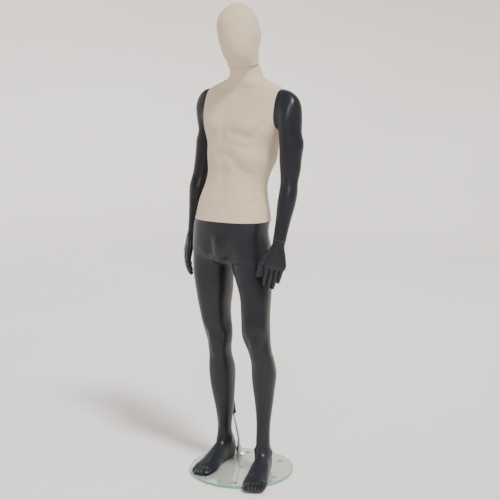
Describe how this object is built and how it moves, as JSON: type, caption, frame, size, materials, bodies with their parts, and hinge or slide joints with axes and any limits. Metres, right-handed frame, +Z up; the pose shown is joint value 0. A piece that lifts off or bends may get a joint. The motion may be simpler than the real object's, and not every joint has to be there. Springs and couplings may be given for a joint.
{
  "type": "full body mannequin",
  "caption": "Standing male display mannequin with a linen-covered head and torso, dark lacquered limbs, and a round glass stand with a chrome calf rod.",
  "frame": {"origin": "centre of the round glass stand, on the floor under its centre pad", "axes": "+Z up; the chest faces -Y; the figure's left side is +X"},
  "size_m": [0.5627, 0.42, 1.85],
  "materials": {
    "glass": "polished clear float glass with a green edge",
    "clear_rubber": "clear soft bumper",
    "chrome": "polished chrome",
    "steel": "bright zinc",
    "anthracite_lacquer": "satin anthracite lacquer on a moulded shell",
    "inner_shell": "raw moulded shell under the fabric",
    "linen": "fine woven linen stretched over the shell"
  },
  "bodies": {
    "stand": {"glass_base": "glass", "centre_pad": "clear_rubber", "rim_pads": "clear_rubber", "base_flange": "chrome", "rod_holder": "chrome", "flange_washer": "steel", "flange_bolt": "steel", "rod_set_screw": "steel", "calf_rod": "chrome"},
    "lower_body": {"lower_body_shell": "anthracite_lacquer", "calf_socket": "steel", "calf_ferrule": "chrome", "waist_receiver": "steel", "waist_receiver_screws": "steel", "thigh_receiver": "steel", "thigh_receiver_screws": "steel"},
    "left_leg": {"left_leg_shell": "anthracite_lacquer", "thigh_spigot": "steel", "thigh_spigot_screws": "steel"},
    "torso": {"torso_shell": "inner_shell", "torso_cover": "linen", "waist_spigot": "steel", "waist_spigot_screws": "steel", "left_shoulder_receiver": "steel", "left_shoulder_receiver_screws": "steel", "right_shoulder_receiver": "steel", "right_shoulder_receiver_screws": "steel", "neck_receiver": "steel", "neck_receiver_screws": "steel"},
    "head": {"head_shell": "inner_shell", "head_cover": "linen", "neck_spigot": "steel", "neck_spigot_screws": "steel"},
    "left_arm": {"left_arm_shell": "anthracite_lacquer", "left_shoulder_spigot": "steel", "left_shoulder_spigot_screws": "steel", "left_wrist_bush": "steel"},
    "right_arm": {"right_arm_shell": "anthracite_lacquer", "right_shoulder_spigot": "steel", "right_shoulder_spigot_screws": "steel", "right_wrist_bush": "steel"},
    "left_hand": {"left_hand_shell": "anthracite_lacquer", "left_wrist_peg": "steel"},
    "right_hand": {"right_hand_shell": "anthracite_lacquer", "right_wrist_peg": "steel"}
  },
  "joints": [
    {"name": "figure_lift", "type": "slide", "parent": "stand", "child": "lower_body", "axis": [-0.0358, -0.2393, 0.9703], "range_m": [0, 0.08]},
    {"name": "left_leg_turn", "type": "hinge", "parent": "lower_body", "child": "left_leg", "pos_m": [0.063, -0.015, 0.865], "axis": [0, 0, 1], "range_deg": [0, 30]},
    {"name": "torso_turn", "type": "hinge", "parent": "lower_body", "child": "torso", "pos_m": [-0.023, -0.02, 1.028], "axis": [0, 0, 1], "range_deg": [0, 30]},
    {"name": "head_turn", "type": "hinge", "parent": "torso", "child": "head", "pos_m": [0.003, 0.012, 1.622], "axis": [0, -0.225, 0.9744], "range_deg": [-30, 30]},
    {"name": "left_arm_turn", "type": "hinge", "parent": "torso", "child": "left_arm", "pos_m": [0.17756, 0.01737, 1.455], "axis": [-0.9976, 0.0698, 0], "range_deg": [-10, 80]},
    {"name": "right_arm_turn", "type": "hinge", "parent": "torso", "child": "right_arm", "pos_m": [-0.18356, 0.04263, 1.455], "axis": [-0.9976, 0.0698, 0], "range_deg": [-10, 80]},
    {"name": "left_hand_turn", "type": "hinge", "parent": "left_arm", "child": "left_hand", "pos_m": [0.217, -0.04, 0.968], "axis": [-0.055, -0.2351, -0.9704], "range_deg": [-40, 40]},
    {"name": "right_hand_turn", "type": "hinge", "parent": "right_arm", "child": "right_hand", "pos_m": [-0.246, 0.001, 0.976], "axis": [0.01, -0.2251, -0.9743], "range_deg": [-40, 40]}
  ]
}
